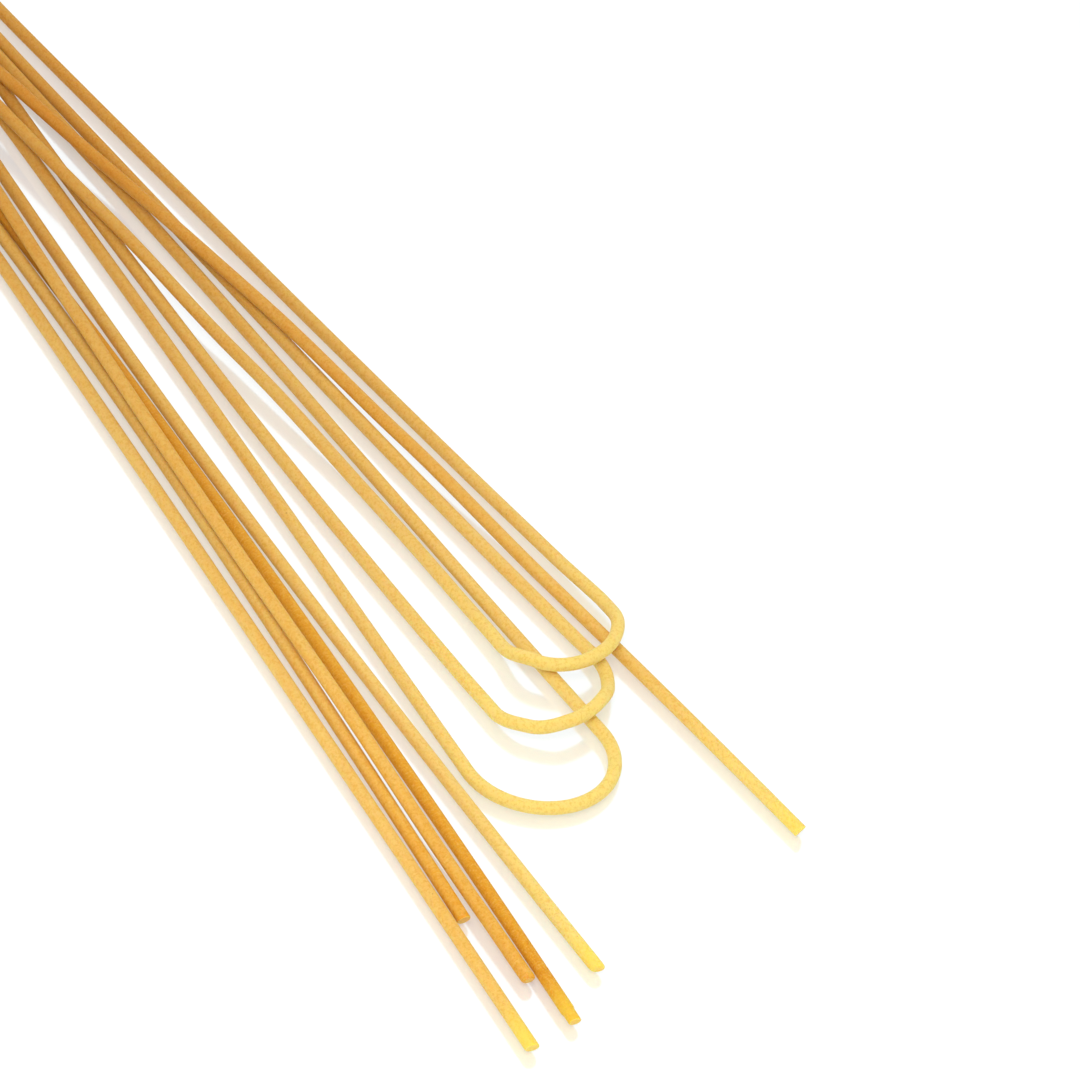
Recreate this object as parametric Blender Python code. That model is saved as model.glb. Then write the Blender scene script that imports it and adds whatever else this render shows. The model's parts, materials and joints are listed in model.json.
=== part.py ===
"""A loose bundle of dry long spaghetti, lying as it was put down.

Six straight strands and three folded ones. A folded strand keeps the bend it took
when it dried over a rail, so it has two legs and a round bend between them.
All bends lie at the +X end, all strands run away from there towards -X.
The strands touch, cross and ride over each other, and none of them is joined.

Axes: +X along the bundle towards the bends, +Z up, Z = 0 on the surface it lies on.
Origin: bottom centre of the bundle's box.
Run it with: blender --background --python part.py
"""

import math

import bpy

MM = 0.001

# ---- Driving dimensions, in millimetres and degrees ------------------------------------

STRAND_RADIUS = 1.0
LEG_STEP = 8.0
BEND_STEPS = 9
BEVEL_RESOLUTION = 3

GOLD = (0.86, 0.55, 0.16, 1.0)
AMBER = (0.80, 0.42, 0.07, 1.0)

# A strand's path in plan begins at its near end (x, y) with a heading, and turns by so
# many degrees over each third of its length. Its rests say where it is carried: the
# distance from the near end, and the height of its centre line there.
STRAIGHT_STRANDS = {
    "strand_past_folds": {
        "start": (68.6, 1.1),
        "heading": 184.7,
        "turns": (2.2, 3.3, -3.0),
        "length": 258.0,
        "rests": ((0, 1.0), (60, 1.0), (95, 2.2), (130, 3.4), (165, 3.6), (200, 4.2), (258, 3.2)),
    },
    "strand_bowed": {
        "start": (80.1, -39.7),
        "heading": 180.3,
        "turns": (-1.7, -2.5, -1.4),
        "length": 257.0,
        "rests": ((0, 1.0),),
    },
    "strand_lowest": {
        "start": (87.2, -47.9),
        "heading": 175.5,
        "turns": (1.3, 2.1, -1.0),
        "length": 258.0,
        "rests": ((0, 1.0),),
    },
    "strand_riding": {
        "start": (78.1, -49.6),
        "heading": 177.3,
        "turns": (-0.5, -2.0, -0.5),
        "length": 256.0,
        "rests": ((0, 1.1), (14, 1.4), (64, 3.2), (110, 3.4), (190, 3.4), (222, 1.0)),
    },
    "strand_short": {
        "start": (64.4, -51.8),
        "heading": 174.9,
        "turns": (0.8, 3.2, 0.3),
        "length": 257.0,
        "rests": ((0, 1.0),),
    },
    "strand_outer": {
        "start": (89.0, -55.8),
        "heading": 176.0,
        "turns": (0.2, 0.4, 5.1),
        "length": 259.0,
        "rests": ((0, 1.0),),
    },
}
AMBER_STRANDS = ("strand_lowest",)

# A folded strand begins at the outermost point of its bend (x, y), with the heading of
# its fold line. Each leg has the bend's radius on its side, the angle by which it closes
# on the fold line, its turns over each third, its reach back from the tip, and its rests.
FOLDED_STRANDS = {
    "fold_top": {
        "tip": (28.3, -8.8),
        "tip_height": 3.8,
        "heading": 191.3,
        "upper_leg": {
            "radius": 11.4,
            "closes": -5.1,
            "turns": (-1.0, -0.4, -5.5),
            "reach": 236.0,
            "rests": ((8, 3.4), (16, 1.6), (28, 1.2), (50, 1.1), (240, 1.0)),
        },
        "lower_leg": {
            "radius": 7.9,
            "closes": 11.3,
            "turns": (6.2, -2.0, 5.9),
            "reach": 229.0,
            "rests": ((9, 3.3), (16, 1.3), (28, 1.0), (50, 1.1),
                      (85, 2.3), (120, 3.8), (195, 3.6), (230, 1.1)),
        },
    },
    "fold_middle": {
        "tip": (37.9, -18.5),
        "tip_height": 3.2,
        "heading": 180.3,
        "upper_leg": {
            "radius": 11.8,
            "closes": 5.7,
            "turns": (-2.6, 0.3, -5.6),
            "reach": 237.0,
            "rests": ((6, 3.4), (13, 1.5), (22, 1.0), (240, 1.0)),
        },
        "lower_leg": {
            "radius": 7.9,
            "closes": -1.3,
            "turns": (-2.7, -1.6, 5.0),
            "reach": 244.0,
            "rests": ((6, 2.2), (12, 1.2), (22, 1.0), (60, 1.0), (140, 1.4), (225, 3.3)),
        },
    },
    "fold_bottom": {
        "tip": (51.1, -25.5),
        "tip_height": 1.0,
        "heading": 176.8,
        "upper_leg": {
            "radius": 10.7,
            "closes": 5.5,
            "turns": (-0.9, 1.4, -0.6),
            "reach": 246.0,
            "rests": ((240, 1.0),),
        },
        "lower_leg": {
            "radius": 11.3,
            "closes": 0.3,
            "turns": (0.0, 1.1, 2.4),
            "reach": 250.0,
            "rests": ((240, 1.0),),
        },
    },
}


# ---- Paths ------------------------------------------------------------------------------

def turned_by(turns, share):
    """Degrees turned after a share of a path whose thirds turn by the given angles."""
    thirds = 3.0 * share
    return sum(turn * min(max(thirds - third, 0.0), 1.0) for third, turn in enumerate(turns))


def walk(start, heading, turns, length):
    """Points in plan along a path of gentle arcs, one for each third."""
    steps = round(length / LEG_STEP)
    step = length / steps
    points = [start]
    for index in range(steps):
        angle = math.radians(heading + turned_by(turns, (index + 0.5) / steps))
        x, y = points[-1]
        points.append((x + step * math.cos(angle), y + step * math.sin(angle)))
    return points


def height_at(distance, rests):
    """Height of a centre line that eases from one rest to the next."""
    if distance <= rests[0][0]:
        return rests[0][1]
    for (near, low), (far, high) in zip(rests, rests[1:]):
        if distance <= far:
            share = (distance - near) / (far - near)
            return low + (high - low) * share * share * (3.0 - 2.0 * share)
    return rests[-1][1]


def raised(points, rests):
    """The plan points with their heights."""
    distance = 0.0
    path = [(*points[0], height_at(0.0, rests))]
    for before, point in zip(points, points[1:]):
        distance += math.dist(before, point)
        path.append((*point, height_at(distance, rests)))
    return path


def straight_path(strand):
    """Centre line of a straight strand, from its near end to its far end."""
    plan = walk(strand["start"], strand["heading"], strand["turns"], strand["length"])
    return raised(plan, strand["rests"])


def leg_plan(fold, leg, side):
    """Half the bend and one leg in plan. Side is 1 to the fold line's right, else -1."""
    outward = math.radians(fold["heading"] + 180.0)
    radius = leg["radius"]
    centre_x = fold["tip"][0] - radius * math.cos(outward)
    centre_y = fold["tip"][1] - radius * math.sin(outward)
    sweep = math.radians(90.0 + leg["closes"])
    arc = []
    for index in range(BEND_STEPS + 1):
        angle = outward + side * sweep * index / BEND_STEPS
        arc.append((centre_x + radius * math.cos(angle), centre_y + radius * math.sin(angle)))
    length = leg["reach"] - radius * (1.0 + math.sin(math.radians(leg["closes"])))
    run = walk(arc[-1], fold["heading"] + side * leg["closes"], leg["turns"], length)
    return arc + run[1:]


def folded_path(fold):
    """Centre line of a folded strand, from one leg's far end round the bend to the other's."""
    tip_rest = (0.0, fold["tip_height"])
    halves = []
    for leg, side in ((fold["upper_leg"], 1), (fold["lower_leg"], -1)):
        halves.append(raised(leg_plan(fold, leg, side), (tip_rest, *leg["rests"])))
    upper, lower = halves
    return upper[::-1] + lower[1:]


def centred(paths):
    """All paths moved so that the bundle's box is centred on the origin in plan."""
    points = [point for path in paths.values() for point in path]
    shift_x = (min(p[0] for p in points) + max(p[0] for p in points)) / 2.0
    shift_y = (min(p[1] for p in points) + max(p[1] for p in points)) / 2.0
    return {
        name: [(x - shift_x, y - shift_y, z) for x, y, z in path]
        for name, path in paths.items()
    }


# ---- Objects ----------------------------------------------------------------------------

def pasta_material(name, colour):
    """Dull, slightly rough dry pasta."""
    material = bpy.data.materials.new(name)
    material.use_nodes = True
    shader = material.node_tree.nodes["Principled BSDF"]
    shader.inputs["Base Color"].default_value = colour
    shader.inputs["Roughness"].default_value = 0.62
    shader.inputs["Metallic"].default_value = 0.0
    material.diffuse_color = colour
    return material


def strand(name, path, material, collection):
    """A round strand with cut ends along a path in millimetres."""
    curve = bpy.data.curves.new(name, "CURVE")
    curve.dimensions = "3D"
    curve.bevel_depth = STRAND_RADIUS * MM
    curve.bevel_resolution = BEVEL_RESOLUTION
    curve.use_fill_caps = True
    spline = curve.splines.new("POLY")
    spline.points.add(len(path) - 1)
    for point, (x, y, z) in zip(spline.points, path):
        point.co = (x * MM, y * MM, z * MM, 1.0)
    curve.materials.append(material)
    collection.objects.link(bpy.data.objects.new(name, curve))


def main():
    for item in list(bpy.data.objects):
        bpy.data.objects.remove(item)
    bundle = bpy.data.collections.new("dry_spaghetti_bundle")
    bpy.context.scene.collection.children.link(bundle)
    paths = {name: straight_path(item) for name, item in STRAIGHT_STRANDS.items()}
    paths.update({name: folded_path(item) for name, item in FOLDED_STRANDS.items()})
    gold = pasta_material("pasta_gold", GOLD)
    amber = pasta_material("pasta_amber", AMBER)
    for name, path in centred(paths).items():
        strand(name, path, amber if name in AMBER_STRANDS else gold, bundle)


main()
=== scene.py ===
# %% [markdown]
# A loose bundle of dry long spaghetti
#
# Nine pieces lie on a white, slightly glossy table: six straight strands and three
# folded ones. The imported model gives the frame: where each strand lies and how thick it
# is. This script gives the looks: round strands with a dull, grainy skin, slanted cuts
# at their ends, small flecks, and a bright white studio around them.

# %% Load the frame
import json
import math

import bpy
from mathutils import Matrix, Vector


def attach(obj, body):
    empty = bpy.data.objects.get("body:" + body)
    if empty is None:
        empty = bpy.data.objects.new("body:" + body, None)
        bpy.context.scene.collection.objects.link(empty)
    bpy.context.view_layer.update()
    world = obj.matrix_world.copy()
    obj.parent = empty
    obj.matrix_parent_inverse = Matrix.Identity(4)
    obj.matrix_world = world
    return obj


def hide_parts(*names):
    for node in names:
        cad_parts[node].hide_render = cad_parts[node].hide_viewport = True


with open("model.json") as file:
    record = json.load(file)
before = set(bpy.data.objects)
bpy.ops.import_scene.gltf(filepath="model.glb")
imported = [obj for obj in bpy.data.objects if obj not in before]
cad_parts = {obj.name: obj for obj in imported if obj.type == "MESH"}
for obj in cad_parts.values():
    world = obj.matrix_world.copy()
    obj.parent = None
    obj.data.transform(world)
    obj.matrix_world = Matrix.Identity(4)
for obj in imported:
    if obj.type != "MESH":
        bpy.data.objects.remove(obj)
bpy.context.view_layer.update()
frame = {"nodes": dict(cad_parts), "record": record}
print("strands in the frame:", len(frame["nodes"]))

# %% [markdown]
# The strands' courses
#
# A dry strand is stiff, so its course in plan is a few very flat arcs: it starts at its
# near end, has a heading, and turns by a few degrees over each third of its length. In
# height it is carried by what lies under it, so its course has rests, and eases from
# one to the next. These are the sizes that the solids were made from, in millimetres
# and degrees. Repeating the rule, and not the finished points, lets the visible strands
# have many more rings than the solids have.

# %% Sizes of the straight strands
MM = 0.001
STRAND_RADIUS = 1.0

STRAIGHT_STRANDS = {
    "strand_past_folds": {
        "start": (68.6, 1.1),
        "heading": 184.7,
        "turns": (2.2, 3.3, -3.0),
        "length": 258.0,
        "rests": ((0, 1.0), (60, 1.0), (95, 2.2), (130, 3.4), (165, 3.6), (200, 4.2), (258, 3.2)),
    },
    "strand_bowed": {
        "start": (80.1, -39.7),
        "heading": 180.3,
        "turns": (-1.7, -2.5, -1.4),
        "length": 257.0,
        "rests": ((0, 1.0),),
    },
    "strand_lowest": {
        "start": (87.2, -47.9),
        "heading": 175.5,
        "turns": (1.3, 2.1, -1.0),
        "length": 258.0,
        "rests": ((0, 1.0),),
    },
    "strand_riding": {
        "start": (78.1, -49.6),
        "heading": 177.3,
        "turns": (-0.5, -2.0, -0.5),
        "length": 256.0,
        "rests": ((0, 1.1), (14, 1.4), (64, 3.2), (110, 3.4), (190, 3.4), (222, 1.0)),
    },
    "strand_short": {
        "start": (64.4, -51.8),
        "heading": 174.9,
        "turns": (0.8, 3.2, 0.3),
        "length": 257.0,
        "rests": ((0, 1.0),),
    },
    "strand_outer": {
        "start": (89.0, -55.8),
        "heading": 176.0,
        "turns": (0.2, 0.4, 5.1),
        "length": 259.0,
        "rests": ((0, 1.0),),
    },
}
print("straight strands:", ", ".join(STRAIGHT_STRANDS))

# %% Sizes of the folded strands
FOLDED_STRANDS = {
    "fold_top": {
        "tip": (28.3, -8.8),
        "tip_height": 3.8,
        "heading": 191.3,
        "upper_leg": {
            "radius": 11.4,
            "closes": -5.1,
            "turns": (-1.0, -0.4, -5.5),
            "reach": 236.0,
            "rests": ((8, 3.4), (16, 1.6), (28, 1.2), (50, 1.1), (240, 1.0)),
        },
        "lower_leg": {
            "radius": 7.9,
            "closes": 11.3,
            "turns": (6.2, -2.0, 5.9),
            "reach": 229.0,
            "rests": ((9, 3.3), (16, 1.3), (28, 1.0), (50, 1.1),
                      (85, 2.3), (120, 3.8), (195, 3.6), (230, 1.1)),
        },
    },
    "fold_middle": {
        "tip": (37.9, -18.5),
        "tip_height": 3.2,
        "heading": 180.3,
        "upper_leg": {
            "radius": 11.8,
            "closes": 5.7,
            "turns": (-2.6, 0.3, -5.6),
            "reach": 237.0,
            "rests": ((6, 3.4), (13, 1.5), (22, 1.0), (240, 1.0)),
        },
        "lower_leg": {
            "radius": 7.9,
            "closes": -1.3,
            "turns": (-2.7, -1.6, 5.0),
            "reach": 244.0,
            "rests": ((6, 2.2), (12, 1.2), (22, 1.0), (60, 1.0), (140, 1.4), (225, 3.3)),
        },
    },
    "fold_bottom": {
        "tip": (51.1, -25.5),
        "tip_height": 1.0,
        "heading": 176.8,
        "upper_leg": {
            "radius": 10.7,
            "closes": 5.5,
            "turns": (-0.9, 1.4, -0.6),
            "reach": 246.0,
            "rests": ((240, 1.0),),
        },
        "lower_leg": {
            "radius": 11.3,
            "closes": 0.3,
            "turns": (0.0, 1.1, 2.4),
            "reach": 250.0,
            "rests": ((240, 1.0),),
        },
    },
}
print("folded strands:", ", ".join(FOLDED_STRANDS))

# %% [markdown]
# From sizes to centre lines
#
# Each course is walked in short steps. The step is half a millimetre here, so that the
# rings of the strand's skin are close enough to carry real unevenness.

# %% Walk the courses
RING_STEP = 0.5
BEND_STEPS = 36


def turned_by(turns, share):
    """Degrees turned after a share of a path whose thirds turn by the given angles."""
    thirds = 3.0 * share
    return sum(turn * min(max(thirds - third, 0.0), 1.0) for third, turn in enumerate(turns))


def walk(start, heading, turns, length):
    """Points in plan along a path of gentle arcs, one for each third."""
    steps = round(length / RING_STEP)
    step = length / steps
    points = [start]
    for index in range(steps):
        angle = math.radians(heading + turned_by(turns, (index + 0.5) / steps))
        x, y = points[-1]
        points.append((x + step * math.cos(angle), y + step * math.sin(angle)))
    return points


def height_at(distance, rests):
    """Height of a centre line that eases from one rest to the next."""
    if distance <= rests[0][0]:
        return rests[0][1]
    for (near, low), (far, high) in zip(rests, rests[1:]):
        if distance <= far:
            share = (distance - near) / (far - near)
            return low + (high - low) * share * share * (3.0 - 2.0 * share)
    return rests[-1][1]


def raised(points, rests):
    """The plan points with their heights."""
    distance = 0.0
    path = [Vector((*points[0], height_at(0.0, rests)))]
    for before, point in zip(points, points[1:]):
        distance += math.dist(before, point)
        path.append(Vector((*point, height_at(distance, rests))))
    return path


def leg_plan(fold, leg, side):
    """Half the bend and one leg in plan."""
    outward = math.radians(fold["heading"] + 180.0)
    radius = leg["radius"]
    centre_x = fold["tip"][0] - radius * math.cos(outward)
    centre_y = fold["tip"][1] - radius * math.sin(outward)
    sweep = math.radians(90.0 + leg["closes"])
    arc = []
    for index in range(BEND_STEPS + 1):
        angle = outward + side * sweep * index / BEND_STEPS
        arc.append((centre_x + radius * math.cos(angle), centre_y + radius * math.sin(angle)))
    length = leg["reach"] - radius * (1.0 + math.sin(math.radians(leg["closes"])))
    run = walk(arc[-1], fold["heading"] + side * leg["closes"], leg["turns"], length)
    return arc + run[1:]


def folded_path(fold):
    """From one leg's far end round the bend to the other's."""
    tip_rest = (0.0, fold["tip_height"])
    halves = []
    for leg, side in ((fold["upper_leg"], 1), (fold["lower_leg"], -1)):
        halves.append(raised(leg_plan(fold, leg, side), (tip_rest, *leg["rests"])))
    upper, lower = halves
    return upper[::-1] + lower[1:]


paths = {}
for name, item in STRAIGHT_STRANDS.items():
    plan = walk(item["start"], item["heading"], item["turns"], item["length"])
    paths[name] = raised(plan, item["rests"])
for name, item in FOLDED_STRANDS.items():
    paths[name] = folded_path(item)
print("rings on the longest strand:", max(len(path) for path in paths.values()))

# %% [markdown]
# Into the frame
#
# The solids' origin is the bottom centre of the bundle's box, so the courses are moved
# by the same rule.

# %% Move the courses into the frame
every_point = [point for path in paths.values() for point in path]
LAYOUT_CENTRE = Vector((
    (min(p.x for p in every_point) + max(p.x for p in every_point)) / 2.0,
    (min(p.y for p in every_point) + max(p.y for p in every_point)) / 2.0,
    0.0,
))
paths = {name: [point - LAYOUT_CENTRE for point in path] for name, path in paths.items()}
print("layout centre, mm:", tuple(round(value, 2) for value in LAYOUT_CENTRE))

# %% [markdown]
# Building node trees in a script
#
# Both the geometry and the materials are node trees. One helper adds a node, sets what
# it is told, and links or fills its inputs, so each tree below reads like a recipe.

# %% A helper that adds a node
def fill(tree, socket, value):
    """Links an input where a socket is given, and sets its value otherwise."""
    if isinstance(value, bpy.types.NodeSocket):
        tree.links.new(value, socket)
    else:
        socket.default_value = value


def add_node(tree, kind, inputs=None, **settings):
    """A new node with its settings made and its inputs filled."""
    node = tree.nodes.new(kind)
    for name, value in settings.items():
        setattr(node, name, value)
    for key, value in (inputs or {}).items():
        fill(tree, node.inputs[key], value)
    return node


print("ready: fill and add_node")


# %% Short names for the nodes that are used most
def maths(tree, operation, first, second=0.0):
    """The result of one Math node."""
    return add_node(tree, "ShaderNodeMath", {0: first, 1: second}, operation=operation).outputs[0]


def vector_maths(tree, operation, first, second=None, scale=None):
    """The result of one Vector Math node."""
    node = add_node(tree, "ShaderNodeVectorMath", {0: first}, operation=operation)
    if second is not None:
        fill(tree, node.inputs[1], second)
    if scale is not None:
        fill(tree, node.inputs["Scale"], scale)
    return node.outputs["Value"] if operation == "DOT_PRODUCT" else node.outputs[0]


def fade(tree, value, low, high, start=0.0, end=1.0, kind="SMOOTHSTEP"):
    """Goes from start to end while the value goes from low to high."""
    return add_node(tree, "ShaderNodeMapRange", {
        "Value": value, "From Min": low, "From Max": high, "To Min": start, "To Max": end,
    }, interpolation_type=kind).outputs[0]


print("ready: maths, vector_maths and fade")

# %% [markdown]
# The skin of a strand
#
# Pasta is pressed through a die and dried, so a strand is round but never perfect: it is
# a little thicker and thinner along its length, its skin is grained like fine sandpaper,
# and where it was cut or snapped the end is slanted and rough. A beveled curve would be
# too clean. Geometry Nodes sweep a ring along the course instead. Each ring has to know
# its centre, its direction, and how far it is from both ends, because the later steps
# use them.

# %% Rings on the course
def rings_on_course(tree, course):
    """The course, and what each of its rings knows: along, from far end, centre, direction."""
    spline = add_node(tree, "GeometryNodeSplineParameter")
    whole = add_node(tree, "GeometryNodeSplineLength")
    left = maths(tree, "SUBTRACT", whole.outputs["Length"], spline.outputs["Length"])
    centre = add_node(tree, "GeometryNodeInputPosition").outputs[0]
    tangent = add_node(tree, "GeometryNodeInputTangent").outputs[0]
    rings = add_node(tree, "GeometryNodeCaptureAttribute", {"Geometry": course})
    for kind, name in (("FLOAT", "Along"), ("FLOAT", "Left"),
                       ("VECTOR", "Centre"), ("VECTOR", "Tangent")):
        rings.capture_items.new(kind, name)
    for socket, source in zip(rings.inputs[1:5], (spline.outputs["Length"], left, centre, tangent)):
        tree.links.new(source, socket)
    return rings.outputs["Geometry"], rings.outputs[1:5]


def ring_of_skin(tree, sides, radius):
    """One ring, and the place of each of its points on it."""
    ring = add_node(tree, "GeometryNodeCurvePrimitiveCircle",
                    {"Resolution": sides, "Radius": radius}, mode="RADIUS")
    profile = add_node(tree, "GeometryNodeCaptureAttribute", {"Geometry": ring.outputs["Curve"]})
    profile.capture_items.new("VECTOR", "Place")
    tree.links.new(add_node(tree, "GeometryNodeInputPosition").outputs[0], profile.inputs[1])
    place = add_node(tree, "ShaderNodeSeparateXYZ", {0: profile.outputs[1]}).outputs
    return profile.outputs["Geometry"], place


print("a ring every", RING_STEP, "mm")

# %% [markdown]
# Cuts on a slant
#
# A cut could be made with a Boolean and a tilted plane. It is simpler to let the points
# near an end slide along the strand, each by its own offset from the centre line, which
# tilts the end's disc. On the disc itself coarse noise moves the points in and out, as
# where a strand was snapped.

# %% Slant and break the ends
CUT_REACH = 2.4
CUT_EDGE = 0.06
CHIP_DEPTH = 0.16
CHIP_SPOTS = 1.6


def seeded_noise(tree, position, seed, spots, detail, roughness=0.5):
    """Noise of so many spots to the millimetre, its own for each seed."""
    return add_node(tree, "ShaderNodeTexNoise", {
        "Vector": position, "W": seed, "Scale": spots / MM, "Detail": detail,
        "Roughness": roughness,
    }, noise_dimensions="4D").outputs[0]


def tilt(tree, from_end, offset, slant):
    """How far a point slides along the strand for a slanted cut."""
    share = fade(tree, from_end, 0.0, CUT_REACH * MM, 1.0, 0.0, kind="LINEAR")
    return maths(tree, "MULTIPLY", share, vector_maths(tree, "DOT_PRODUCT", offset, slant))


def chip(tree, on_cut, position, seed):
    """How far a point of the cut's own face moves in or out."""
    chips = seeded_noise(tree, position, seed, CHIP_SPOTS, 3.0)
    depth = maths(tree, "MULTIPLY", maths(tree, "SUBTRACT", chips, 0.5), CHIP_DEPTH * MM)
    return maths(tree, "MULTIPLY", on_cut, depth)


print("a cut is slanted over", CUT_REACH, "mm")

# %% [markdown]
# Thick and thin stretches, and grain
#
# The swell is slow noise, with one spot in about a centimetre. The grain is noise of a
# millimetre and finer, and it is only hundredths of a millimetre deep. Both push the
# points straight outwards, so the mesh itself is uneven and the light does the rest.

# %% Push the skin outwards
SWELL_SPOTS = 0.11
SWELL_MIDDLE = 0.55
GRAIN_SPOTS = 1.1


def unevenness(tree, position, given):
    """How far each point of the skin is pushed outwards."""
    swell = seeded_noise(tree, position, given["Seed"], SWELL_SPOTS, 2.0)
    swell_push = maths(tree, "MULTIPLY", maths(tree, "SUBTRACT", swell, SWELL_MIDDLE),
                       maths(tree, "MULTIPLY", given["Unevenness"], given["Radius"]))
    grain = seeded_noise(tree, position, given["Seed"], GRAIN_SPOTS, 4.0, 0.7)
    grain_push = maths(tree, "MULTIPLY", maths(tree, "SUBTRACT", grain, 0.5), given["Grain depth"])
    return maths(tree, "ADD", swell_push, grain_push)


print("a swell is about", round(1.0 / SWELL_SPOTS), "mm long")

# %% [markdown]
# What the finish has to know
#
# A material can't tell where a strand ends or bends, so the tree stores that on the mesh:
# the place on the skin, how fresh the cut still looks there, whether a point is on the
# cut's face, the distance from the strand's palest place, and a tone that changes evenly
# with that distance.

# %% Store what the finish reads
FRESH_FROM = 1.0
FRESH_REACH = 9.0
TONE_REACH = 150.0


def store(tree, geometry, name, value, kind="FLOAT"):
    """The geometry with one more value on its points."""
    return add_node(tree, "GeometryNodeStoreNamedAttribute", {
        "Geometry": geometry, "Name": name, "Value": value,
    }, data_type=kind, domain="POINT").outputs["Geometry"]


def with_facts(tree, geometry, given, along, from_end, on_cut, place):
    """The geometry with everything that the finish reads."""
    from_pale = maths(tree, "ABSOLUTE", maths(tree, "SUBTRACT", along, given["Pale place"]))
    tone = fade(tree, from_pale, 0.0, TONE_REACH * MM, given["Tone"], given["Far tone"], kind="LINEAR")
    fresh = fade(tree, from_end, FRESH_FROM * MM, FRESH_REACH * MM, given["Fresh cut"], 0.0)
    skin = add_node(tree, "ShaderNodeCombineXYZ", {0: along, 1: place[0], 2: place[1]}).outputs[0]
    geometry = store(tree, geometry, "skin", skin, kind="FLOAT_VECTOR")
    for name, value in (("fresh", fresh), ("on_cut", on_cut),
                        ("from_pale", from_pale), ("tone", tone)):
        geometry = store(tree, geometry, name, value)
    return geometry


print("the tone changes over", TONE_REACH, "mm")

# %% [markdown]
# The whole strand tree
#
# Its inputs are a strand's sizes and looks, so one tree makes all nine strands. It ends
# in Realize Instances and Set Material, and what comes out is a plain mesh.

# %% Name the tree's inputs
SIDES = 20
UNEVENNESS = 0.02
GRAIN_DEPTH = 0.008


def empty_strand_tree():
    """A node tree with the inputs and the output of a strand."""
    tree = bpy.data.node_groups.new("Pasta strand", "GeometryNodeTree")
    for name, kind, default in (
        ("Course", "NodeSocketGeometry", None),
        ("Radius", "NodeSocketFloat", STRAND_RADIUS * MM),
        ("Sides", "NodeSocketInt", SIDES),
        ("Unevenness", "NodeSocketFloat", UNEVENNESS),
        ("Grain depth", "NodeSocketFloat", GRAIN_DEPTH * MM),
        ("Near slant", "NodeSocketVector", None),
        ("Far slant", "NodeSocketVector", None),
        ("Seed", "NodeSocketFloat", 0.0),
        ("Fresh cut", "NodeSocketFloat", 0.0),
        ("Pale place", "NodeSocketFloat", 0.0),
        ("Tone", "NodeSocketFloat", 0.0),
        ("Far tone", "NodeSocketFloat", 0.0),
        ("Finish", "NodeSocketMaterial", None),
    ):
        socket = tree.interface.new_socket(name=name, in_out="INPUT", socket_type=kind)
        if default is not None:
            socket.default_value = default
    tree.interface.new_socket(name="Strand", in_out="OUTPUT", socket_type="NodeSocketGeometry")
    return tree


pasta_strand = empty_strand_tree()
print("the strand tree has", len(pasta_strand.interface.items_tree) - 1, "inputs")


# %% Put the tree together
def sweep_rings(tree, given):
    """The bare skin, with the ring facts and each point's place on its ring."""
    course, facts = rings_on_course(tree, given["Course"])
    profile, place = ring_of_skin(tree, given["Sides"], given["Radius"])
    skin = add_node(tree, "GeometryNodeCurveToMesh", {
        "Curve": course,
        "Profile Curve": profile,
        "Scale": add_node(tree, "GeometryNodeInputRadius").outputs[0],
        "Fill Caps": True,
    })
    return skin.outputs["Mesh"], facts, place


def moved(tree, geometry, direction, distance):
    """The geometry with its points moved by a distance in a direction."""
    return add_node(tree, "GeometryNodeSetPosition", {
        "Geometry": geometry,
        "Offset": vector_maths(tree, "SCALE", direction, scale=distance),
    }).outputs["Geometry"]


def build_strand(tree):
    """Turns a course into the skin of a strand."""
    given = add_node(tree, "NodeGroupInput").outputs
    skin, (along, from_far, centre, tangent), place = sweep_rings(tree, given)
    position = add_node(tree, "GeometryNodeInputPosition").outputs[0]
    offset = vector_maths(tree, "SUBTRACT", position, centre)
    from_end = maths(tree, "MINIMUM", along, from_far)
    on_cut = maths(tree, "LESS_THAN", from_end, CUT_EDGE * MM)
    slide = maths(tree, "ADD", tilt(tree, along, offset, given["Near slant"]),
                  tilt(tree, from_far, offset, given["Far slant"]))
    slide = maths(tree, "ADD", slide, chip(tree, on_cut, position, given["Seed"]))
    skin = moved(tree, skin, tangent, slide)
    outward = vector_maths(tree, "NORMALIZE", offset)
    skin = moved(tree, skin, outward, unevenness(tree, position, given))
    skin = with_facts(tree, skin, given, along, from_end, on_cut, place)
    smooth = add_node(tree, "GeometryNodeSetShadeSmooth", {"Geometry": skin})
    real = add_node(tree, "GeometryNodeRealizeInstances", {"Geometry": smooth.outputs["Geometry"]})
    finish = add_node(tree, "GeometryNodeSetMaterial", {
        "Geometry": real.outputs["Geometry"], "Material": given["Finish"],
    })
    add_node(tree, "NodeGroupOutput", {0: finish.outputs["Geometry"]})


build_strand(pasta_strand)
print("the strand tree has", len(pasta_strand.nodes), "nodes")

# %% [markdown]
# The pasta's finish
#
# Dry durum pasta is a dull golden yellow. Its skin is a little frosted, because the die
# tears it as it leaves, and under the frost the dough shows deeper and warmer. Fine marks
# run along the strand and across it, grain darkens it in spots, and here and there sits a
# brown fleck of bran. A fresh cut is brighter than the skin and a bend is paler. The far
# half of the bundle is painted a little darker: painted shade, for less light reaching it.

# %% Colours of the finish
GOLD_LIGHT = (0.75, 0.52, 0.155, 1.0)
GOLD_DEEP = (0.69, 0.315, 0.012, 1.0)
AMBER_LIGHT = (0.68, 0.34, 0.022, 1.0)
AMBER_DEEP = (0.64, 0.28, 0.006, 1.0)
PALE = (0.82, 0.69, 0.20, 1.0)
FROST = (0.80, 0.62, 0.22, 1.0)
GRAIN = (0.92, 0.84, 0.62, 1.0)
BRAN = (0.30, 0.13, 0.03, 1.0)
FRESH_CUT = (0.84, 0.65, 0.07, 1.0)
CUT_FACE = (0.80, 0.59, 0.16, 1.0)
# Painted shade: the tint that darkens the far half of the bundle.
FAR_SHADE_TINT = (0.75, 0.60, 0.42, 1.0)
print("the palest pasta is", PALE[:3])


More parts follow.
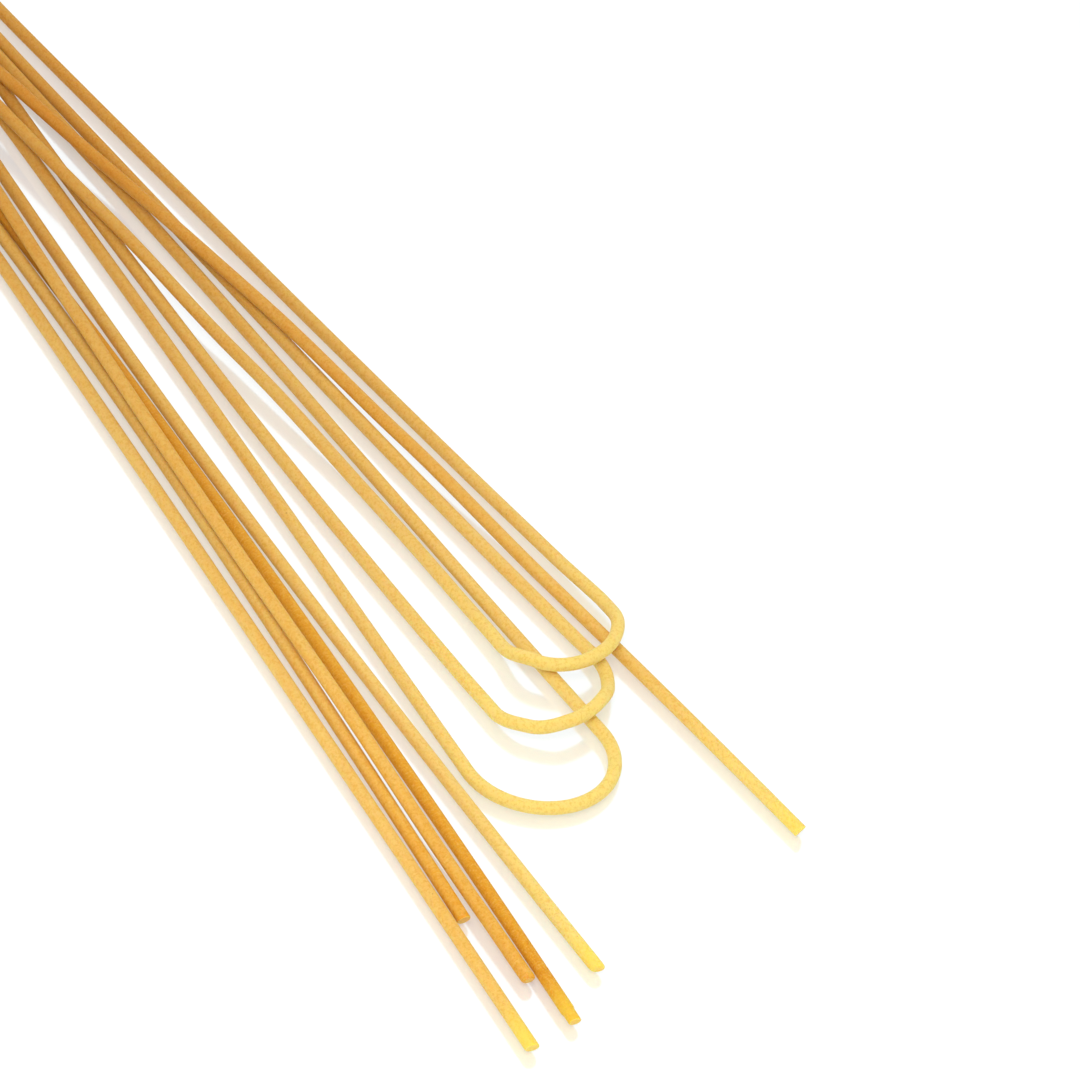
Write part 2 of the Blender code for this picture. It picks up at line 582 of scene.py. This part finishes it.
# %% Helpers for the finish
def read_attribute(tree, name, output="Fac"):
    """What the strand tree stored on the mesh under a name."""
    return add_node(tree, "ShaderNodeAttribute", attribute_name=name).outputs[output]


def noise(tree, vector, spots, detail, roughness=0.5):
    """Noise of so many spots to each unit of the vector."""
    return add_node(tree, "ShaderNodeTexNoise", {
        "Vector": vector, "Scale": spots, "Detail": detail, "Roughness": roughness,
    }).outputs[0]


def stretched(tree, skin, along, across):
    """Noise coordinates on the skin, with so many spots to the millimetre each way."""
    return add_node(tree, "ShaderNodeMapping", {
        "Vector": skin, "Scale": (along / MM, across / MM, across / MM),
    }).outputs[0]


def mix(tree, share, first, second, blend="MIX"):
    """One colour over another."""
    node = add_node(tree, "ShaderNodeMix", data_type="RGBA", blend_type=blend)
    for index, value in ((0, share), (6, first), (7, second)):
        fill(tree, node.inputs[index], value)
    return node.outputs[2]


print("ready: read_attribute, noise, stretched and mix")

# %% [markdown]
# Dough and skin
#
# The dough goes from light to deep by the strand's own tone, a little streaked and
# mottled. Near the palest place it fades to pale. The streaks and the cross marks read
# the place on the skin, so they follow each strand round its bend. Mottle, frost and
# grain have no direction, so they can read the object's own coordinates.

# %% Colour of the dough
STREAK_PART = 0.55
TONE_SPREAD = 0.15
PALE_SHARE = 0.6
PALE_REACH = 45.0


def dough_colour(tree, skin, mottle, light, deep):
    """Light to deep by the tone, and pale near the palest place."""
    streaks = noise(tree, stretched(tree, skin, 0.06, 0.7), 1.0, 3.0)
    depth = maths(tree, "ADD", maths(tree, "MULTIPLY", streaks, STREAK_PART),
                  maths(tree, "MULTIPLY", mottle, 1.0 - STREAK_PART))
    spread = fade(tree, depth, 0.35, 0.65, -TONE_SPREAD, TONE_SPREAD)
    colour = mix(tree, maths(tree, "ADD", spread, read_attribute(tree, "tone")), light, deep)
    from_pale = read_attribute(tree, "from_pale")
    return mix(tree, fade(tree, from_pale, 0.0, PALE_REACH * MM, PALE_SHARE, 0.0), colour, PALE)


print("a bend is pale for", PALE_REACH, "mm on both sides")

# %% Marks on the skin
MARK_SHARE = 0.18
FROST_SHARE = 0.25
BRAN_SPOTS = 0.16
BRAN_SHARE = 0.55
FACE_SHARE = 0.5


def marked(tree, colour, place, crossmarks, frost):
    """The dough's colour under marks, frost, grain and flecks of bran."""
    grain = noise(tree, place, 2.2 / MM, 3.0, 0.75)
    bran = add_node(tree, "ShaderNodeTexVoronoi", {"Vector": place, "Scale": BRAN_SPOTS / MM})
    colour = mix(tree, fade(tree, crossmarks, 0.50, 0.72, 0.0, MARK_SHARE), colour, FROST)
    colour = mix(tree, fade(tree, frost, 0.48, 0.68, 0.0, FROST_SHARE), colour, FROST)
    colour = mix(tree, fade(tree, grain, 0.47, 0.63), colour, GRAIN, "MULTIPLY")
    return mix(tree, fade(tree, bran.outputs["Distance"], 0.012, 0.03, BRAN_SHARE, 0.0), colour, BRAN)


def freshly_cut(tree, colour):
    """The colour, brighter towards a fresh cut and on its face."""
    colour = mix(tree, read_attribute(tree, "fresh"), colour, FRESH_CUT)
    on_face = maths(tree, "MULTIPLY", read_attribute(tree, "on_cut"), FACE_SHARE)
    return mix(tree, on_face, colour, CUT_FACE)


print("flecks of bran are about", round(1.0 / BRAN_SPOTS), "mm apart")

# %% [markdown]
# The whole finish
#
# The far half is darkened last, over everything: this is painted shade, for the light
# that fades towards the bundle's far end. The relief is the same frost and cross marks as
# a bump, too fine for the mesh. Pasta lets some light into its dough, so the finish has
# subsurface, which keeps the strands bright on their shaded sides.

# %% Mix the finish
# Where the far half's painted shade starts and where it is full, along the bundle in millimetres.
FAR_SHADE_START = 110.0
FAR_SHADE_FULL = -75.0
RELIEF_DEPTH = 0.03
DOUGH_DEPTH = 1.0


def painted_far_shade(tree, colour, place):
    """The colour with painted shade, darker towards the bundle's far end."""
    along_bundle = add_node(tree, "ShaderNodeSeparateXYZ", {0: place}).outputs[0]
    share = fade(tree, along_bundle, FAR_SHADE_START * MM, FAR_SHADE_FULL * MM)
    return mix(tree, share, colour, FAR_SHADE_TINT, "MULTIPLY")


def set_shine(shader):
    """A dull surface that lets light into the dough."""
    shader.inputs["IOR"].default_value = 1.45
    shader.inputs["Specular IOR Level"].default_value = 0.2
    shader.inputs["Subsurface Weight"].default_value = 0.8
    shader.inputs["Subsurface Radius"].default_value = (1.0, 0.55, 0.16)
    shader.inputs["Subsurface Scale"].default_value = DOUGH_DEPTH * MM


def pasta_finish(name, light, deep):
    """Dull dry pasta between a light and a deep colour."""
    material = bpy.data.materials.new(name)
    material.use_nodes = True
    material.diffuse_color = light
    tree = material.node_tree
    shader = tree.nodes["Principled BSDF"]
    skin = read_attribute(tree, "skin", "Vector")
    place = add_node(tree, "ShaderNodeTexCoord").outputs["Object"]
    crossmarks = noise(tree, stretched(tree, skin, 5.0, 0.35), 1.0, 3.0, 0.6)
    mottle = noise(tree, place, 1.3 / MM, 4.0, 0.65)
    frost = noise(tree, place, 3.4 / MM, 3.0, 0.75)

    colour = dough_colour(tree, skin, mottle, light, deep)
    colour = freshly_cut(tree, marked(tree, colour, place, crossmarks, frost))
    # Last, painted shade darkens the far half of the bundle.
    fill(tree, shader.inputs["Base Color"], painted_far_shade(tree, colour, place))
    relief = maths(tree, "ADD", maths(tree, "MULTIPLY", frost, 0.5),
                   maths(tree, "MULTIPLY", crossmarks, 0.5))
    bump = add_node(tree, "ShaderNodeBump", {
        "Height": relief, "Strength": 0.35, "Distance": RELIEF_DEPTH * MM,
    })
    fill(tree, shader.inputs["Normal"], bump.outputs["Normal"])
    fill(tree, shader.inputs["Roughness"], fade(tree, mottle, 0.3, 0.7, 0.52, 0.68))
    set_shine(shader)
    return material


finishes = {
    "pasta_gold": pasta_finish("pasta gold", GOLD_LIGHT, GOLD_DEEP),
    "pasta_amber": pasta_finish("pasta amber", AMBER_LIGHT, AMBER_DEEP),
}
print("finishes:", ", ".join(finishes))

# %% [markdown]
# Cut ends
#
# A strand's end is a small rough disc with a slightly rounded rim. The course gets a few
# extra rings there, close together, that grow from the disc's middle to its rim, and the
# slants tilt the whole disc. A snapped end is square, a worn one rounder, and a nicked
# one steps down before its end. Each ring is a distance from the end in millimetres and
# a share of the strand's thickness.

# %% Give the courses their end rings
SHARP_END = ((0.0, 0.03), (0.004, 0.5), (0.01, 0.85), (0.03, 0.94), (0.08, 0.975), (0.2, 1.0))
WORN_END = ((0.0, 0.03), (0.03, 0.42), (0.09, 0.68), (0.2, 0.85), (0.42, 0.96), (0.8, 1.0))
NICKED_END = ((0.0, 0.03), (0.004, 0.45), (0.01, 0.76), (0.03, 0.84), (0.1, 0.88),
              (1.0, 0.89), (2.1, 0.89), (2.25, 1.0))


def place_at(path, lengths, distance):
    """The point at a distance along a path whose running lengths are given."""
    low, high = 0, len(lengths) - 1
    while high - low > 1:
        middle = (low + high) // 2
        low, high = (middle, high) if lengths[middle] <= distance else (low, middle)
    share = (distance - lengths[low]) / (lengths[high] - lengths[low])
    return path[low].lerp(path[high], min(max(share, 0.0), 1.0))


def course_with_ends(path, near_end, far_end):
    """Points and thicknesses of a course, with close rings at both cut ends."""
    lengths = [0.0]
    for before, point in zip(path, path[1:]):
        lengths.append(lengths[-1] + (point - before).length)
    whole = lengths[-1]
    inner = whole - near_end[-1][0] - far_end[-1][0]
    steps = round(inner / RING_STEP)
    stations = [(distance, thickness) for distance, thickness in near_end]
    for index in range(1, steps):
        stations.append((near_end[-1][0] + inner * index / steps, 1.0))
    stations += [(whole - distance, thickness) for distance, thickness in reversed(far_end)]
    return [(place_at(path, lengths, distance), thickness) for distance, thickness in stations]


print("rings at a sharp end:", len(SHARP_END))

# %% [markdown]
# Looks of the strands
#
# Each strand has its own tones: one at its palest place and one further on, where 0 is
# the finish's light colour and 1 its deep one. A tone past 1 keeps the strand deep for
# longer before it fades. The palest place is a distance along the strand in millimetres.
# It is the bend of a folded strand and the near end of a straight one, or a point before
# that end where the strand never gets so pale. A fresh cut shows yellow, so each strand
# also says how fresh its cuts are, how its near end was cut, and which way it slants.

# %% Choose each strand's tones and cuts
STRAND_LOOKS = {
    "strand_past_folds": {
        "pale_place": 0.0, "tone": 0.2, "far_tone": 0.6, "fresh": 0.35,
        "near": SHARP_END, "near_slant": (0.0, 0.29, -0.42),
    },
    "strand_bowed": {
        "pale_place": 0.0, "tone": 0.0, "far_tone": 0.15, "fresh": 0.5,
        "near": WORN_END, "near_slant": (0.0, -0.38, -0.3),
    },
    "strand_lowest": {
        "pale_place": -60.0, "tone": 1.4, "far_tone": -0.1, "fresh": 0.5,
        "near": NICKED_END, "near_slant": (0.0, -0.1, -0.3),
    },
    "strand_riding": {
        "pale_place": -60.0, "tone": 1.05, "far_tone": 0.3, "fresh": 0.0,
        "near": WORN_END, "near_slant": (0.0, -0.1, -0.3),
    },
    "strand_short": {
        "pale_place": -60.0, "tone": 1.5, "far_tone": 0.0, "fresh": 0.0,
        "near": SHARP_END, "near_slant": (0.0, 0.0, -0.35),
    },
    "strand_outer": {
        "pale_place": -20.0, "tone": 0.5, "far_tone": 0.05, "fresh": 0.6,
        "near": SHARP_END, "near_slant": (0.0, -0.15, -0.35),
    },
    "fold_top": {
        "pale_place": 246.0, "tone": 0.0, "far_tone": 0.28, "fresh": 0.3,
        "near": SHARP_END, "near_slant": (0.0, 0.2, 0.1),
    },
    "fold_middle": {
        "pale_place": 247.0, "tone": 0.0, "far_tone": 0.3, "fresh": 0.3,
        "near": SHARP_END, "near_slant": (0.0, -0.1, 0.1),
    },
    "fold_bottom": {
        "pale_place": 252.0, "tone": 0.0, "far_tone": 0.22, "fresh": 0.3,
        "near": WORN_END, "near_slant": (0.0, 0.1, 0.2),
    },
}
FAR_SLANT = (0.0, 0.15, -0.12)
print("strands with their own looks:", len(STRAND_LOOKS))

# %% [markdown]
# Sweep the strands
#
# Each strand gets its own seed too, so no two have the same grain. The modifier's inputs
# are set by the sockets' identifiers before the object is evaluated, then the result
# becomes a plain mesh and the guide curve goes, with its modifier.

# %% Lay a guide curve for a strand
def guide_curve(name, path, near_end):
    """A curve along the course, whose points carry the thickness of the strand."""
    curve = bpy.data.curves.new(name + "_course", "CURVE")
    curve.dimensions = "3D"
    curve.twist_mode = "Z_UP"
    spline = curve.splines.new("POLY")
    course = course_with_ends(path, near_end, SHARP_END)
    spline.points.add(len(course) - 1)
    for ring, (point, thickness) in zip(spline.points, course):
        ring.co = (*(point * MM), 1.0)
        ring.radius = thickness
    guide = bpy.data.objects.new(name + "_course", curve)
    bpy.context.scene.collection.objects.link(guide)
    return guide


slots = {part["node"]: part["material_slot"] for part in frame["record"]["subparts"]}
print("slots:", ", ".join(sorted(set(slots.values()))))

# %% Make the strands
SEED_STEP = 7.3


def tree_input(name):
    """The identifier of one of the strand tree's inputs."""
    for item in pasta_strand.interface.items_tree:
        if item.in_out == "INPUT" and item.name == name:
            return item.identifier
    raise KeyError(name)


def sweep_strand(name, path, look, seed):
    """The finished mesh object of one strand."""
    guide = guide_curve(name, path, look["near"])
    modifier = guide.modifiers.new("Strand", "NODES")
    modifier.node_group = pasta_strand
    for label, value in (
        ("Near slant", look["near_slant"]),
        ("Far slant", FAR_SLANT),
        ("Seed", float(seed)),
        ("Fresh cut", look["fresh"]),
        ("Pale place", look["pale_place"] * MM),
        ("Tone", look["tone"]),
        ("Far tone", look["far_tone"]),
        ("Finish", finishes[slots[name]]),
    ):
        modifier[tree_input(label)] = value
    graph = bpy.context.evaluated_depsgraph_get()
    mesh = bpy.data.meshes.new_from_object(guide.evaluated_get(graph))
    bpy.data.objects.remove(guide)
    mesh.name = name + "_pasta"
    piece = bpy.data.objects.new(name + "_pasta", mesh)
    bpy.context.scene.collection.objects.link(piece)
    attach(piece, "root")
    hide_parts(name)
    return piece


for index, (name, look) in enumerate(STRAND_LOOKS.items()):
    piece = sweep_strand(name, paths[name], look, SEED_STEP * index)
    print(name, "has", len(piece.data.polygons), "faces")

# %% [markdown]
# The table
#
# The table is a white sheet that glows a little, like a light table. The glow reaches the
# strands' sides and undersides, so they look nearly flat, and it keeps the shadows under
# them faint. The sheet lies a few tenths of a millimetre lower than the strands, which
# lets the glow in below them. Its gloss gives each strand a soft cream reflection. The
# sheet's height is in millimetres, as the strands' sizes are. Its width, the camera's
# distance and the lamp's places are in metres.

# %% Lay the table
TABLE_HEIGHT = -0.4
TABLE_HALF = 3.0
TABLE_WHITE = (0.42, 0.42, 0.42, 1.0)
TABLE_GLOW = (0.87, 0.96, 1.0, 1.0)
TABLE_GLOW_STRENGTH = 0.68
TABLE_GLOSS = 0.4
GLOSS_ROUGHNESS = 0.14


def table_finish():
    """Glowing white under a nearly sharp gloss."""
    material = bpy.data.materials.new("white table")
    material.use_nodes = True
    tree = material.node_tree
    shader = tree.nodes["Principled BSDF"]
    shader.inputs["Base Color"].default_value = TABLE_WHITE
    shader.inputs["Roughness"].default_value = 0.9
    shader.inputs["Emission Color"].default_value = TABLE_GLOW
    shader.inputs["Emission Strength"].default_value = TABLE_GLOW_STRENGTH
    gloss = add_node(tree, "ShaderNodeBsdfGlossy", {
        "Color": (1.0, 1.0, 1.0, 1.0), "Roughness": GLOSS_ROUGHNESS,
    })
    both = add_node(tree, "ShaderNodeMixShader", {
        0: TABLE_GLOSS, 1: shader.outputs[0], 2: gloss.outputs[0],
    })
    tree.links.new(both.outputs[0], tree.nodes["Material Output"].inputs["Surface"])
    return material


corners = [
    (x * TABLE_HALF, y * TABLE_HALF, TABLE_HEIGHT * MM)
    for x, y in ((-1, -1), (1, -1), (1, 1), (-1, 1))
]
table_mesh = bpy.data.meshes.new("table")
table_mesh.from_pydata(corners, [], [(0, 1, 2, 3)])
table_mesh.materials.append(table_finish())
table = bpy.data.objects.new("table", table_mesh)
bpy.context.scene.collection.objects.link(table)
print("table gloss:", TABLE_GLOSS)

# %% [markdown]
# The camera
#
# It stands on the side of the bends, about 40 degrees above the table and a little
# rolled, with a long lens, so the bundle runs across the view from corner to corner and
# its far ends leave it.

# %% Set up the camera
VIEW_ELEVATION = math.radians(40.5)
VIEW_ROLL = math.radians(10.0)
VIEW_TURN = math.radians(52.0)
VIEW_DISTANCE = 0.88235
LENS = 200.0

turn = Matrix.Rotation(VIEW_TURN, 3, "Z")
look_point = -LAYOUT_CENTRE * MM
away = turn @ Vector((0.0, math.cos(VIEW_ELEVATION), -math.sin(VIEW_ELEVATION)))
level = turn @ Vector((1.0, 0.0, 0.0))
upright = turn @ Vector((0.0, math.sin(VIEW_ELEVATION), math.cos(VIEW_ELEVATION)))
right = level * math.cos(VIEW_ROLL) + upright * math.sin(VIEW_ROLL)
up = upright * math.cos(VIEW_ROLL) - level * math.sin(VIEW_ROLL)
camera_data = bpy.data.cameras.new("camera")
camera_data.lens = LENS
camera_data.sensor_width = 36.0
camera_data.clip_start = 0.01
camera_data.clip_end = 20.0
camera = bpy.data.objects.new("camera", camera_data)
axes = Matrix((right, up, -away)).transposed()
camera.matrix_world = Matrix.Translation(look_point - away * VIEW_DISTANCE) @ axes.to_4x4()
bpy.context.scene.collection.objects.link(camera)
bpy.context.scene.camera = camera
bpy.context.scene.view_settings.view_transform = "Standard"
print("camera at", tuple(round(value, 3) for value in camera.matrix_world.translation))

# %% [markdown]
# The light
#
# A white room lights the strands evenly from all around. One soft lamp looks down from
# high up on the camera's side, a little to the left. From there it reaches nearly
# everything that the camera sees, so strands that lie between others stay bright.

# %% Light the room
ROOM_STRENGTH = 0.93
LAMP_BEFORE = 0.40
LAMP_ASIDE = 0.12
LAMP_ABOVE = 0.70
LAMP_WIDTH = 0.3
LAMP_POWER = 2.6
LIT_PLACE = Vector((0.06, 0.0, 0.0))

room = bpy.data.worlds.new("white room")
room.use_nodes = True
room.node_tree.nodes["Background"].inputs["Color"].default_value = (1.0, 1.0, 1.0, 1.0)
room.node_tree.nodes["Background"].inputs["Strength"].default_value = ROOM_STRENGTH
bpy.context.scene.world = room


def soft_lamp(name, place, target, width, power):
    """A square lamp that looks at a target."""
    data = bpy.data.lights.new(name, "AREA")
    data.size = width
    data.energy = power
    lamp = bpy.data.objects.new(name, data)
    lamp.location = place
    lamp.rotation_euler = (target - place).to_track_quat("-Z", "Y").to_euler()
    bpy.context.scene.collection.objects.link(lamp)
    return lamp


target = look_point + LIT_PLACE
towards_camera = Vector((-away.x, -away.y, 0.0)).normalized()
above = Vector((0.0, 0.0, LAMP_ABOVE))
place = target + towards_camera * LAMP_BEFORE - level * LAMP_ASIDE + above
lamp = soft_lamp("soft lamp", place, target, LAMP_WIDTH, LAMP_POWER)
print("lamp at", tuple(round(value, 3) for value in lamp.location))
